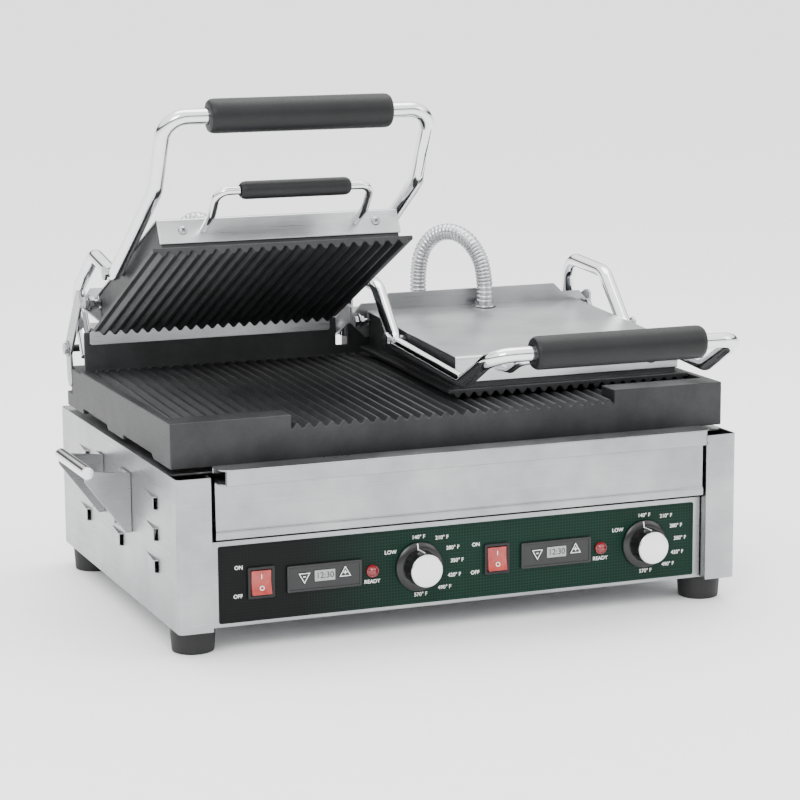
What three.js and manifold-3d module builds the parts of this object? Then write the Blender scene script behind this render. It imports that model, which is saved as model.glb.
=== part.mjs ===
// A countertop double contact grill: one stainless housing, one ribbed cast-iron lower
// plate and two ribbed upper plates, each carried by its own tubular arm. The left lid
// stands open and the right lid is shut. Millimetres, +Z up, the front faces -Y.
import * as THREE from 'three';
import { mergeVertices } from 'three/addons/utils/BufferGeometryUtils.js';
import Module from 'manifold-3d';

const wasm = await Module();
wasm.setup();

// ---------------------------------------------------------------- driving dimensions
// Housing frame: x from the middle, y from the face of the front posts to the back,
// z from the underside of the housing.
const housing = { width: 580, depth: 422, height: 146.7, wall: 1.5, post: 33.5, corner: 5 };
const foot = { height: 24, top: 22, bottom: 20, insetX: 23, insetY: 34 };
const GAP = 0.3;

const lower = {
  halfWidth: 287, wallHalf: 277, skinHalf: 282.8, front: 27, wallFront: 345, back: 404, bottom: 151,
  sideTop: 194.5, backTop: 235, sideWall: 8, blockDepth: 30, blockInner: 168, blockRound: 12,
};
const ridge = { pitch: 11.6, height: 4.5, crest: 2.8, root: 2.4, rise: 0.0362 };
const cook = { y: 27, z: 181 };

const lid = { pitch: 288.5, openAngle: 27.5 };
const arm = { half: 131.5, radius: 7.3, bend: 22, sides: 8, steps: 52, openAngle: 9.2 };
// Side view with the lid shut, as (y, z): the lid hinge, then the arm's corners forward.
const hinge = [401, 211];
const armFoot = [368.3, 212];
const armRear = [360, 283];
const armTop = [272, 277];
const pivot = [221, 224];
const armFront = [40, 211];
const armHandle = [-29, 246.5];
const grip = { half: 90, radius: 16.5, bore: 7.7 };

const plate = { half: 131.8, boxHalf: 120.5, front: 77.8, depth: 247.6, tip: 188.3, rim: 4.2 };
const cover = { half: 122.3, front: 82.5, back: 326.6, flangeBottom: 202.4, top: 228.5, rise: 0.058 };
const yoke = {
  front: 327, sheet: 3, bottom: 214, top: 260, step: 250.5, end: 241,
  topHalf: 97, stepFrom: 107, stepTo: 128, endHalf: 136,
  strapInner: 139.1, strapWidth: 21, tail: [10, -30], hole: 4.3,
};

const conduit = { radius: 9.3, foot: [-39, 386], collar: [7.75, 313], sides: 8, steps: 22 };

const panel = { face: 11, halfWidth: 255.5, bottom: 0.8, top: 83, thickness: 1.2 };
const overlay = { halfWidth: 248, bottom: 4.2, top: 78.2, thickness: 0.6 };
const controls = { z: 41, module: 120.3, rocker: -86.4, timer: -23.5, lamp: 25.2, knob: 73 };
const tray = { halfWidth: 240, front: 6, back: 300, bottom: 97, top: 137, wall: 1.2 };

const ORIGIN_Y = 196; // the housing's y that becomes the part's y = 0

// ---------------------------------------------------------------- materials
const finish = (color, roughness, metalness) => new THREE.MeshStandardMaterial({ color, roughness, metalness });
const materials = {
  stainless: finish(0xc9cacb, 0.35, 1),
  castIron: finish(0x2c2d2f, 0.7, 0.6),
  chrome: finish(0xe6e7e8, 0.08, 1),
  zinc: finish(0xb4b6b8, 0.4, 1),
  handleBlack: finish(0x3a3b3d, 0.6, 0),
  blackPlastic: finish(0x1b1b1d, 0.5, 0),
  overlay: finish(0x16382e, 0.45, 0),
  redLens: finish(0xb02a38, 0.25, 0),
  rockerRed: finish(0xd88a88, 0.3, 0),
  aluminium: finish(0xe4e4e2, 0.3, 1),
  rubber: finish(0x2a2b2c, 0.8, 0),
  heater: finish(0x77706a, 0.5, 1),
  ceramic: finish(0xd9d4c8, 0.7, 0),
};

// ---------------------------------------------------------------- solids and cuts
function solid(geometry) {
  const bare = geometry.clone();
  bare.deleteAttribute('normal');
  bare.deleteAttribute('uv');
  const merged = mergeVertices(bare, 1e-4);
  return new wasm.Manifold(new wasm.Mesh({
    numProp: 3,
    vertProperties: new Float32Array(merged.attributes.position.array),
    triVerts: new Uint32Array(merged.index.array),
  }));
}

function shape(manifold) {
  const mesh = manifold.getMesh();
  const geometry = new THREE.BufferGeometry();
  geometry.setAttribute('position', new THREE.BufferAttribute(mesh.vertProperties, 3));
  geometry.setIndex(new THREE.BufferAttribute(mesh.triVerts, 1));
  geometry.computeVertexNormals();
  return geometry;
}

const join = (...geometries) => shape(geometries.map(solid).reduce((sum, next) => sum.add(next)));
const cut = (body, ...tools) => shape(tools.map(solid).reduce((left, tool) => left.subtract(tool), solid(body)));
const common = (a, b) => shape(solid(a).intersect(solid(b)));

// A block between two corners.
function block(x0, x1, y0, y1, z0, z1) {
  return new THREE.BoxGeometry(x1 - x0, y1 - y0, z1 - z0)
    .translate((x0 + x1) / 2, (y0 + y1) / 2, (z0 + z1) / 2);
}

// A round bar along x, y or z, from one end to the other, through (a, b) on the other two axes.
function bar(axis, radius, from, to, a, b, sides = 18) {
  const geometry = new THREE.CylinderGeometry(radius, radius, to - from, sides);
  const middle = (from + to) / 2;
  if (axis === 'x') return geometry.rotateZ(-Math.PI / 2).translate(middle, a, b);
  if (axis === 'y') return geometry.translate(a, middle, b);
  return geometry.rotateX(Math.PI / 2).translate(a, b, middle);
}

const outline = (points) => new THREE.Shape(points.map(([u, v]) => new THREE.Vector2(u, v)));
const extrude = (flat, depth, curveSegments = 4) =>
  new THREE.ExtrudeGeometry(flat, { depth, bevelEnabled: false, curveSegments });

// A flat outline in (x, y) raised from z0 to z1.
const inPlan = (flat, z0, z1) => extrude(flat, z1 - z0).translate(0, 0, z0);
// A flat outline in (x, z) carried from y0 to y1.
const inFront = (flat, y0, y1) => extrude(flat, y1 - y0).rotateX(Math.PI / 2).translate(0, y1, 0);
// A flat outline in (y, z) carried from x0 to x1.
const inSide = (flat, x0, x1) =>
  extrude(flat, x1 - x0).applyMatrix4(new THREE.Matrix4().makeBasis(
    new THREE.Vector3(0, 1, 0), new THREE.Vector3(0, 0, 1), new THREE.Vector3(1, 0, 0),
  )).translate(x0, 0, 0);

// A rectangle with rounded corners.
function roundedRect(x0, x1, y0, y1, r) {
  const flat = new THREE.Shape();
  flat.moveTo(x0 + r, y0).lineTo(x1 - r, y0).absarc(x1 - r, y0 + r, r, -Math.PI / 2, 0, false);
  flat.lineTo(x1, y1 - r).absarc(x1 - r, y1 - r, r, 0, Math.PI / 2, false);
  flat.lineTo(x0 + r, y1).absarc(x0 + r, y1 - r, r, Math.PI / 2, Math.PI, false);
  flat.lineTo(x0, y0 + r).absarc(x0 + r, y0 + r, r, Math.PI, Math.PI * 1.5, false);
  return flat;
}

// A flat bar with round ends, between two points.
function slotShape([ua, va], [ub, vb], r) {
  const angle = Math.atan2(vb - va, ub - ua);
  const flat = new THREE.Shape();
  flat.absarc(ub, vb, r, angle - Math.PI / 2, angle + Math.PI / 2, false);
  flat.absarc(ua, va, r, angle + Math.PI / 2, angle + Math.PI * 1.5, false);
  return flat;
}

// A line through corner points, with every inner corner rounded to one bend radius.
function bentLine(corners, bend) {
  const points = corners.map((corner) => new THREE.Vector3(...corner));
  const path = new THREE.CurvePath();
  let start = points[0];
  for (let i = 1; i < points.length - 1; i += 1) {
    const back = points[i - 1].clone().sub(points[i]);
    const ahead = points[i + 1].clone().sub(points[i]);
    const turn = Math.PI - back.angleTo(ahead);
    const reach = Math.min(bend * Math.tan(turn / 2), back.length() * 0.48, ahead.length() * 0.48);
    const into = points[i].clone().add(back.setLength(reach));
    const out = points[i].clone().add(ahead.setLength(reach));
    path.add(new THREE.LineCurve3(start, into));
    path.add(new THREE.QuadraticBezierCurve3(into, points[i].clone(), out));
    start = out;
  }
  path.add(new THREE.LineCurve3(start, points.at(-1)));
  return path;
}

// A solid round rod along a path.
function rod(path, radius, steps, sides) {
  const section = outline(Array.from({ length: sides }, (_, i) => {
    const angle = (2 * Math.PI * (i + 0.5)) / sides;
    return [radius * Math.cos(angle), radius * Math.sin(angle)];
  }));
  return new THREE.ExtrudeGeometry(section, { steps, extrudePath: path, bevelEnabled: false });
}

const grill = new THREE.Group();
const base = new THREE.Group();
base.position.set(0, -ORIGIN_Y, foot.height);
grill.add(base);

function piece(name, geometry, material, parent = base) {
  const mesh = new THREE.Mesh(geometry, material);
  mesh.name = name;
  parent.add(mesh);
  return mesh;
}

const sides = [['left', -1], ['right', 1]];

// ---------------------------------------------------------------- housing
// The wrap-round shell: two sides, the back and the folded front posts, in one sheet.
function housingShell() {
  const { width, depth, height, wall, post, corner } = housing;
  const half = width / 2;
  const lip = 12;
  const postInner = half - post;
  const outer = inPlan(roundedRect(-half, half, 0, depth, corner), 0, height);
  const hollow = inPlan(roundedRect(-half + wall, half - wall, wall, depth - wall, corner - wall), -1, height + 1);
  const mouth = block(-postInner, postInner, -1, lip, -1, height + 1);
  const returns = sides.map(([, side]) =>
    block(Math.min(side * postInner, side * (postInner + wall)), Math.max(side * postInner, side * (postInner + wall)),
      wall / 2, lip, 0, height));
  const cordHole = bar('y', 12, depth - 10, depth + 10, cordInlet.x, cordInlet.z);
  const shell = cut(join(cut(outer, hollow, mouth), ...returns), cordHole);
  return louvres(shell);
}

// Pressed louvres, three by three on each side: a thin hood with its mouth to the front.
const louvre = { rows: [112, 82, 51], starts: [65, 188, 311], length: 45, height: 13, rise: 3.6, skin: 1 };
function louvres(shell) {
  const half = housing.width / 2;
  const { rows, starts, length, height, rise, skin } = louvre;
  let result = solid(shell);
  for (const [, side] of sides) {
    for (const z of rows) {
      for (const y of starts) {
        const hood = outline([[side * (half - 0.5), y], [side * (half + rise), y + 3], [side * (half - 0.5), y + length]]);
        const inside = outline([[side * (half - 3), y - 2], [side * (half + rise - skin), y + 1],
          [side * (half + rise - skin), y + 4], [side * (half - 3), y + length - 14]]);
        result = result.add(solid(upright(hood, z - height / 2, z + height / 2)))
          .subtract(solid(upright(inside, z - height / 2 + skin, z + height / 2 - skin)));
      }
    }
  }
  return shape(result);
}

// A plan outline that may run either way round, raised between two heights.
function upright(flat, z0, z1) {
  const points = flat.getPoints();
  return inPlan(new THREE.Shape(THREE.ShapeUtils.isClockWise(points) ? points.reverse() : points), z0, z1);
}

const cordInlet = { x: 215, z: 60 };

function basePan() {
  const half = housing.width / 2 - housing.wall - GAP;
  const front = panel.face + 3;
  return inPlan(roundedRect(-half, half, front, housing.depth - housing.wall - GAP, housing.corner), 0, 1.2);
}

function topDeck() {
  const half = housing.width / 2 - housing.wall - GAP;
  return inPlan(roundedRect(-half, half, lower.front + 2, housing.depth - housing.wall - GAP, housing.corner), 145, 146.5);
}

function footBody() {
  const { height, top, bottom } = foot;
  const profile = [[0, -height], [bottom - 2, -height], [bottom, -height + 2], [top, -GAP - 3], [top - 1, -GAP], [0, -GAP]];
  return new THREE.LatheGeometry(profile.map(([r, z]) => new THREE.Vector2(r, z)), 18).rotateX(Math.PI / 2);
}

// A lifting handle: two sheet gussets with feet on the side panel and a round bar between them.
const sideHandle = {
  front: 153, rear: 253, sheet: 2.5, footFront: 33, footRear: 20,
  bottom: 66, top: 125, barX: 333, barZ: 128, barRadius: 6.4,
};
function liftingHandle(side) {
  const { front, rear, sheet, footFront, footRear, bottom, top, barX, barZ, barRadius } = sideHandle;
  const face = housing.width / 2 + GAP;
  const web = outline([[face, bottom], [face + 6, bottom], [barX + 3, barZ - 9], [barX + 3, barZ + 2], [face, top]]
    .map(([x, z]) => [side * x, z]));
  const gussets = [front, rear].map((y) => upright(web, 0, sheet).rotateX(Math.PI / 2).translate(0, y + sheet, 0));
  const footX = [side * face, side * (face + sheet)].sort((a, b) => a - b);
  const feet = [[front, front + footFront], [rear, rear + footRear]].map(([y0, y1]) => block(...footX, y0, y1, bottom, top));
  const round = bar('y', barRadius, front - 0.5, rear + sheet + 0.5, side * barX, barZ, 14);
  return join(...gussets, ...feet, round);
}

function cordGland() {
  const { x, z } = cordInlet;
  const rearFace = housing.depth;
  const barrel = bar('y', 11.4, rearFace - 12, rearFace + 1, x, z);
  const nut = bar('y', 14, rearFace + GAP, rearFace + 8, x, z, 6);
  const nose = bar('y', 9, rearFace + 7, rearFace + 15.25, x, z);
  return cut(join(barrel, nut, nose), bar('y', 5, rearFace - 20, rearFace + 20, x, z));
}

// ---------------------------------------------------------------- lower cooking plate
// A row of rounded ribs seen from the front, as (x, z) points from -half to +half.
function ribLine(half, z, direction) {
  const count = Math.floor((2 * half) / ridge.pitch);
  const start = -(count * ridge.pitch) / 2;
  const { pitch, height, crest, root } = ridge;
  const flank = (pitch - crest - root) / 2;
  const points = [[-half, z]];
  for (let i = 0; i < count; i += 1) {
    const x = start + i * pitch;
    points.push([x + root / 2, z], [x + root / 2 + flank, z + direction * height],
      [x + root / 2 + flank + crest, z + direction * height], [x + pitch - root / 2, z]);
  }
  points.push([half, z]);
  return points;
}

// Ribs run from front to back and climb slightly, so fat drains to the front.
function tilted(geometry, y, z) {
  return geometry.translate(0, -y, -z).rotateX(Math.atan(ridge.rise)).translate(0, y, z);
}

function lowerPlate() {
  const { halfWidth, front, wallFront, back, bottom, sideTop, backTop, sideWall, blockDepth, blockInner, blockRound } = lower;
  const wallTop = backTop + 10;
  const bed = block(-halfWidth, halfWidth, front, back, bottom, sideTop);
  const backWall = block(-lower.wallHalf, lower.wallHalf, wallFront, back, bottom, backTop);
  const wallSkin = block(-lower.skinHalf, lower.skinHalf, wallFront, wallFront + 3, bottom, backTop);
  const above = [...ribLine(halfWidth - 1, cook.z, 1), [halfWidth - 1, wallTop], [-halfWidth + 1, wallTop]];
  const aboveRibs = tilted(inFront(outline(above), -60, 400), cook.y, cook.z);
  const trough = block(-halfWidth + sideWall, halfWidth - sideWall, front + blockDepth, wallFront, bottom, wallTop + 20);
  const apron = inFront(roundedRect(-blockInner, blockInner, 160, wallTop + 20, blockRound), front - 5, front + blockDepth + 5);
  const cleared = common(aboveRibs, join(trough, apron));
  const heaterBays = sides.map(([, side]) =>
    block(side * 143 - 128, side * 143 + 128, front + 14, wallFront - 12, bottom - 5, bottom + 20));
  const wallBays = sides.map(([, side]) => {
    const [x0, x1] = [side * 27, side * 260].sort((a, b) => a - b);
    return block(x0, x1, wallFront + 6, back - 6, bottom - 5, backTop - 6);
  });
  const body = cut(join(bed, backWall, wallSkin), cleared, ...heaterBays, ...wallBays, ...hingePockets(), ...sideNotches());
  return join(body, ...hingePins());
}

// Room in the back wall for the arm feet, the yoke straps and the tails below the hinge.
function hingePockets() {
  const { halfWidth, wallFront, back, backTop } = lower;
  const centre = block(-21, 21, wallFront + 3, back + 5, 160, backTop + 5);
  const strapGap = block(-6.5, 6.5, wallFront - 5, wallFront + 5, 205, backTop + 5);
  const outer = sides.flatMap(([, side]) => {
    const across = (from, to) => [side * from, side * to].sort((a, b) => a - b);
    return [
      block(...across(266, halfWidth + 5), wallFront + 3, back + 5, 192, backTop + 5),
      block(...across(282.7, halfWidth + 5), back - 21, back + 5, 166, 200),
    ];
  });
  return [centre, strapGap, ...outer];
}

// Fixed pins the straps turn on: one across the middle slot, one out of each side.
function hingePins() {
  const pin = (x0, x1) => bar('x', 4, Math.min(x0, x1), Math.max(x0, x1), ...hinge, 16);
  return [pin(-22, 22), ...sides.map(([, side]) => pin(side * 264, side * 289.5))];
}

// Pads under each side wall let air out between the plate and the deck.
function sideNotches() {
  const { halfWidth, bottom } = lower;
  return [[89.5, 189, 155.5], [250, 340, 156.4]].flatMap(([y0, y1, zTop]) => {
    const notch = outline([[y0 - 10, bottom - 5], [y1, bottom - 5], [y1, zTop], [y0, zTop]]);
    return [inSide(notch, -halfWidth - 5, -halfWidth + 6), inSide(notch, halfWidth - 6, halfWidth + 5)];
  });
}

// The bright caps on the back wall: a top strip with a front flange that has round lower corners.
function rearStrip(side) {
  const flangeOuter = side * 277;
  const flangeInner = side * 14;
  const x0 = Math.min(flangeOuter, flangeInner);
  const x1 = Math.max(flangeOuter, flangeInner);
  const topZ = lower.backTop + GAP;
  const flange = inFront(roundedRect(x0, x1, 222, topZ + 1.2, 3), lower.wallFront - GAP - 1.2, lower.wallFront - GAP);
  const outerTop = side * 267;
  const innerTop = side * 22;
  const cap = block(Math.min(outerTop, innerTop), Math.max(outerTop, innerTop),
    lower.wallFront - GAP - 1.2, lower.back - 1, topZ, topZ + 1.2);
  return join(flange, cap);
}

// A sheathed heating rod folded into hairpins across a plate, with two tails to the back.
function heaterPath(x, z, halfWidth, front, back, passes) {
  const step = (2 * halfWidth) / (passes - 1);
  const corners = [[x - halfWidth, back + 10, z]];
  for (let i = 0; i < passes; i += 1) {
    const at = x - halfWidth + i * step;
    const ends = i % 2 === 0 ? [back, front] : [front, back];
    corners.push([at, ends[0], z], [at, ends[1], z]);
  }
  corners.splice(1, 1);
  corners.pop();
  corners.push([x + halfWidth, back + 10, z]);
  return bentLine(corners, step / 2);
}

// ---------------------------------------------------------------- control panel
function controlPanel() {
  const { face, halfWidth, bottom, top, thickness } = panel;
  const sheet = block(-halfWidth, halfWidth, face, face + thickness, bottom, top);
  return cut(sheet, ...panelHoles(face - 5, face + 10));
}

function panelOverlay() {
  const { halfWidth, bottom, top, thickness } = overlay;
  const film = inFront(roundedRect(-halfWidth, halfWidth, bottom, top, 2), panel.face - thickness, panel.face - 0.02);
  return cut(film, ...panelHoles(panel.face - 5, panel.face + 5));
}

const timerBody = { half: 34, halfHeight: 10, bezelHalf: 37.5, bezelHalfHeight: 12.8 };
const rockerBody = { half: 11.5, halfHeight: 13.5, bezelHalf: 13.3, bezelHalfHeight: 15.2 };
function panelHoles(y0, y1) {
  const z = controls.z;
  return sides.flatMap(([, side]) => {
    const middle = side * controls.module;
    const rockerX = middle + controls.rocker;
    const timerX = middle + controls.timer;
    return [
      block(rockerX - rockerBody.half, rockerX + rockerBody.half, y0, y1, z - rockerBody.halfHeight, z + rockerBody.halfHeight),
      block(timerX - timerBody.half, timerX + timerBody.half, y0, y1, z - timerBody.halfHeight, z + timerBody.halfHeight),
      bar('y', 5.6, y0, y1, middle + controls.lamp, z),
      bar('y', 6.5, y0, y1, middle + controls.knob, z),
    ];
  });
}

// Snap-in rocker switch: a bezel on the panel and a contact body behind it, open at the front.
function rockerSwitch(x) {
  const z = controls.z;
  const { half, halfHeight, bezelHalf, bezelHalfHeight } = rockerBody;
  const face = panel.face - overlay.thickness - GAP;
  const bezel = inFront(roundedRect(x - bezelHalf, x + bezelHalf, z - bezelHalfHeight, z + bezelHalfHeight, 1.5), face - 2.2, face);
  const body = block(x - half + GAP, x + half - GAP, face - 1, face + 24, z - halfHeight + GAP, z + halfHeight - GAP);
  const well = block(x - half + 1.3, x + half - 1.3, face - 5, face + 9, z - halfHeight + 1.3, z + halfHeight - 1.3);
  const tabs = [-7, 0, 7].map((dz) => block(x - 3, x + 3, face + 23, face + 32, z + dz - 0.5, z + dz + 0.5));
  return cut(join(bezel, body, ...tabs), well);
}

// The rocker itself: two shallow faces that meet in a ridge, on a half-round back.
const rocker = { half: 9.8, halfHeight: 11.7, depth: 5, tilt: 6 };
function rockerKey() {
  const { half, halfHeight, depth } = rocker;
  const section = outline([[-1.2, -halfHeight], [depth, -halfHeight + 1.5], [depth, halfHeight - 1.5],
    [-1.2, halfHeight], [0.2, 0]]);
  return inSide(section, -half, half);
}

// Electronic timer: a shallow bezel with a window, and its case behind the panel.
function timerCase(x) {
  const z = controls.z;
  const { half, halfHeight, bezelHalf, bezelHalfHeight } = timerBody;
  const face = panel.face - overlay.thickness - GAP;
  const bezel = inFront(roundedRect(x - bezelHalf, x + bezelHalf, z - bezelHalfHeight, z + bezelHalfHeight, 1.5), face - 2.6, face);
  const body = block(x - half + GAP, x + half - GAP, face - 1, face + 30, z - halfHeight + GAP, z + halfHeight - GAP);
  const recess = block(x - bezelHalf + 2.5, x + bezelHalf - 2.5, face - 5, face - 1.8, z - bezelHalfHeight + 2.2, z + bezelHalfHeight - 2.2);
  const keyWells = [-1, 1].map((dir) => timerKey(dir, 0.35, 3).translate(x + dir * key.offset, face - 2.4, z + key.rise));
  return cut(join(bezel, body), recess, ...keyWells);
}

// Triangular timer keys: minus points down, plus points up.
const key = { offset: 20.5, size: 6.6, rise: 1.5 };
function timerKey(direction, margin, depth) {
  const r = key.size + margin * 2;
  const flat = outline([0, 1, 2].map((i) => {
    const angle = Math.PI / 2 * direction + (2 * Math.PI * i) / 3;
    return [r * Math.cos(angle), r * Math.sin(angle)];
  }));
  return inFront(flat, 0, depth);
}

function pilotLamp(x) {
  const z = controls.z;
  const face = panel.face - overlay.thickness - GAP;
  const flange = bar('y', 6.3, face - 1.5, face, x, z);
  const dome = new THREE.SphereGeometry(5.6, 12, 6).scale(1, 0.55, 1).translate(x, face - 1.6, z);
  const body = bar('y', 5.2, face - 1, face + 22, x, z, 16);
  return join(flange, dome, body);
}

// Dial knob: a wide skirt and a grip drum, on a blind bore for the thermostat's shaft.
const knob = { skirt: 24, drum: 17.5, cap: 16.3, skirtDepth: 5, depth: 20, shaft: 3, shaftDepth: 14 };
function knobBody(x) {
  const z = controls.z;
  const face = panel.face - overlay.thickness - 0.6;
  const skirt = bar('y', knob.skirt, face - knob.skirtDepth, face, x, z, 28);
  const drum = bar('y', knob.drum, face - knob.depth, face - knob.skirtDepth + 1, x, z, 24);
  const bore = bar('y', knob.shaft + 0.4, face - knob.shaftDepth, face + 5, x, z, 16);
  return cut(join(skirt, drum), bore);
}

function knobCap(x) {
  const front = panel.face - overlay.thickness - 0.6 - knob.depth - GAP;
  return bar('y', knob.cap, front - 2.2, front, x, controls.z, 24);
}

// Capillary thermostat: a round body behind the panel with its shaft through the panel.
function thermostat(x) {
  const z = controls.z;
  const behind = panel.face + panel.thickness + GAP;
  const body = bar('y', 21, behind, behind + 26, x, z, 24);
  const collar = bar('y', 6, behind - 1, behind + 1, x, z, 16);
  const shaft = bar('y', knob.shaft, panel.face - knob.shaftDepth + 0.8, behind + 2, x, z, 16);
  const terminals = [-8, 8].map((dz) => block(x - 3, x + 3, behind + 25, behind + 34, z + dz - 0.5, z + dz + 0.5));
  return join(body, collar, shaft, ...terminals);
}

function terminalBlock() {
  const strip = block(150, 200, 380, 398, 1.5, 22);
  const wells = [0, 1, 2].map((i) => bar('z', 3.2, 12, 30, 160 + 15 * i, 389, 12));
  return cut(strip, ...wells);
}

// ---------------------------------------------------------------- drip tray drawer
function dripTray() {
  const { halfWidth, front, back, bottom, top, wall } = tray;
  const outer = inPlan(roundedRect(-halfWidth, halfWidth, front, back, 6), bottom, top);
  const inner = inPlan(roundedRect(-halfWidth + wall, halfWidth - wall, front + wall, back - wall, 5), bottom + wall, top + 5);
  return cut(outer, inner);
}

// The drawer front is one folded sheet: hem, face, then a hollow lip to pull by. Fat runs
// off the cooking plate and falls between the lip and the plate into the tray.
const drawer = {
  halfWidth: 253, hemBottom: 87, hemTop: 94.5, hemFront: -1.2, face: 0.4, sheet: 1.5,
  lipBottom: 141, lipTop: 156, lipFront: -19, lipBack: 8, lipHem: 149, lipRound: 11,
};
function drawerFront() {
  const { halfWidth, hemBottom, hemTop, hemFront, face, sheet, lipBottom, lipTop, lipFront, lipBack, lipHem, lipRound } = drawer;
  const fold = outline([
    [hemFront, hemBottom], [hemFront, hemTop], [face, hemTop + 1], [face, lipBottom], [lipFront, lipBottom],
    [lipFront, lipTop], [lipBack, lipTop], [lipBack, lipHem], [lipBack - sheet, lipHem], [lipBack - sheet, lipTop - sheet],
    [lipFront + sheet, lipTop - sheet], [lipFront + sheet, lipBottom + sheet], [face + sheet, lipBottom + sheet],
    [face + sheet, hemBottom],
  ].reverse());
  const plan = inPlan(roundedRect(-halfWidth, halfWidth, lipFront, lipBack + 40, lipRound), 0, 200);
  return common(inSide(fold, -halfWidth, halfWidth), plan);
}

// ---------------------------------------------------------------- lids
// All lid parts are drawn shut, with x measured from the lid's own middle.
function armTube() {
  const { half, radius, bend, steps, sides: count } = arm;
  const side = [armFoot, armRear, armTop, pivot, armFront, armHandle];
  const corners = [
    ...side.map(([y, z]) => [-half, y, z]),
    ...side.reverse().map(([y, z]) => [half, y, z]),
  ];
  const tube = rod(bentLine(corners, bend), radius, steps, count);
  const pivotBore = bar('x', 4.3, -half - 10, half + 10, ...pivotOnTube(), 12);
  return cut(tube, pivotBore);
}

// The bolt crosses the tube a little inside the bend at the pivot corner.
function pivotOnTube() {
  return [pivot[0] + 1, pivot[1] + 3.4];
}

// Moulded hand grip around the arm's cross bar, or the small one on the lid's own handle.
function gripSleeve(half, radius, bore, [y, z]) {
  const round = radius * 0.35;
  const profile = [
    [bore, -half], [radius - round, -half], [radius - round * 0.3, -half + round * 0.3], [radius, -half + round],
    [radius, half - round], [radius - round * 0.3, half - round * 0.3], [radius - round, half], [bore, half], [bore, -half],
  ];
  return new THREE.LatheGeometry(profile.map(([r, x]) => new THREE.Vector2(r, x)), 18)
    .rotateZ(-Math.PI / 2).translate(0, y, z);
}

// The yoke: a stepped band across the back of the lid whose ends fold into two straps,
// each with a hole for the hinge pin and a short tail below it.
function hingeYoke() {
  const { front, sheet, bottom, top, step, end, topHalf, stepFrom, stepTo, endHalf, strapInner } = yoke;
  const outer = strapInner + sheet;
  const band = inFront(outline([
    [-outer, bottom + 18], [-endHalf + 12, bottom], [endHalf - 12, bottom], [outer, bottom + 18], [outer, end],
    [endHalf, end], [stepTo, step], [stepFrom, step], [topHalf, top],
    [-topHalf, top], [-stepFrom, step], [-stepTo, step], [-endHalf, end], [-outer, end],
  ]), front, front + sheet);
  const strapTop = [front + 1.5 + yoke.strapWidth / 4, 240];
  const tailEnd = [hinge[0] + yoke.tail[0], hinge[1] + yoke.tail[1]];
  const straps = [-1, 1].flatMap((end) => {
    const [x0, x1] = [end * strapInner, end * outer].sort((a, b) => a - b);
    return [
      inSide(slotShape(hinge, strapTop, yoke.strapWidth / 2), x0, x1),
      inSide(slotShape(hinge, tailEnd, yoke.strapWidth / 2 - 2), x0, x1),
    ];
  });
  const holes = bar('x', yoke.hole, -outer - 5, outer + 5, ...hinge, 16);
  const forward = block(-outer - 5, outer + 5, front - 20, front, bottom - 20, top + 20);
  return cut(join(band, ...straps), holes, forward);
}

// Upper cooking plate: a ribbed rim with a hollow box on its back for the heater.
function upperPlate() {
  const { half, boxHalf, front, depth, tip, rim } = plate;
  const root = tip + ridge.height;
  const below = [...ribLine(half, root, -1), [half, root + rim], [-half, root + rim]].reverse();
  const ribs = tilted(inFront(outline(below), front, front + depth), front, tip);
  const boxFront = cover.front + 1.5 + GAP;
  const boxBack = cover.back - 1.5 - GAP;
  const wallTop = (y) => cover.top - 1.5 - GAP + (y - cover.front) * cover.rise;
  const wallBottom = (y) => root + 2 + (y - front) * ridge.rise;
  const side = outline([[boxFront, wallBottom(boxFront)], [boxBack, wallBottom(boxBack)],
    [boxBack, wallTop(boxBack)], [boxFront, wallTop(boxFront)]]);
  const room = outline([[boxFront + 8, wallBottom(boxFront) + 6], [boxBack - 8, wallBottom(boxBack) + 6],
    [boxBack - 8, wallTop(boxBack) + 10], [boxFront + 8, wallTop(boxFront) + 10]]);
  const boltHoles = bar('x', 4.3, -boxHalf - 5, boxHalf + 5, ...pivotOnTube(), 12);
  return cut(join(ribs, inSide(side, -boxHalf, boxHalf)), inSide(room, -boxHalf + 8, boxHalf - 8), boltHoles);
}

// Stainless cover: a sloping top folded down over the front and back edges.
function lidCover() {
  const { half, front, back, flangeBottom, top, rise } = cover;
  const sheet = 1.5;
  const topAt = (y) => top + (y - front) * rise;
  const fold = outline([[front, flangeBottom], [front + sheet, flangeBottom], [front + sheet, top - sheet],
    [back - sheet, topAt(back) - sheet], [back - sheet, topAt(back) - 16], [back, topAt(back) - 16],
    [back, topAt(back)], [front + 2, top], [front, top - 2]]);
  const wireway = bar('z', 6, 220, 255, ...conduit.collar, 16);
  return cut(inSide(fold, -half, half), wireway);
}

// A thin-headed bolt through the arm tube into the side of the cooking plate.
function pivotBolt(side) {
  const inner = side * (plate.boxHalf - 12);
  const neck = side * (arm.half + arm.radius + GAP + 0.5);
  const outer = side * (arm.half + arm.radius + GAP + 3);
  const span = (a, b) => [Math.min(a, b), Math.max(a, b)];
  const shank = bar('x', 4, ...span(inner, neck), ...pivotOnTube(), 12);
  const head = bar('x', 7.5, ...span(neck - side * 0.5, outer), ...pivotOnTube(), 6);
  return join(shank, head);
}

// The lid's own small bracket handle, standing off the cover's front flange.
const lidHandle = { half: 77, radius: 4, grip: 8.7, gripHalf: 55, bar: [24.5, 230.5], mount: [cover.front - GAP, 216] };
function lidHandleTube() {
  const { half, radius, bar: [barY, barZ], mount: [y, z] } = lidHandle;
  const reach = [y - 30, z + 2];
  const corners = [[-half, y, z], [-half, ...reach], [-half, barY, barZ], [half, barY, barZ], [half, ...reach], [half, y, z]];
  const tube = rod(bentLine(corners, 12), radius, 30, 6);
  const flanges = [-half, half].map((x) => bar('y', 7, y - 2, y, x, z, 16));
  return join(tube, ...flanges);
}

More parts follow.
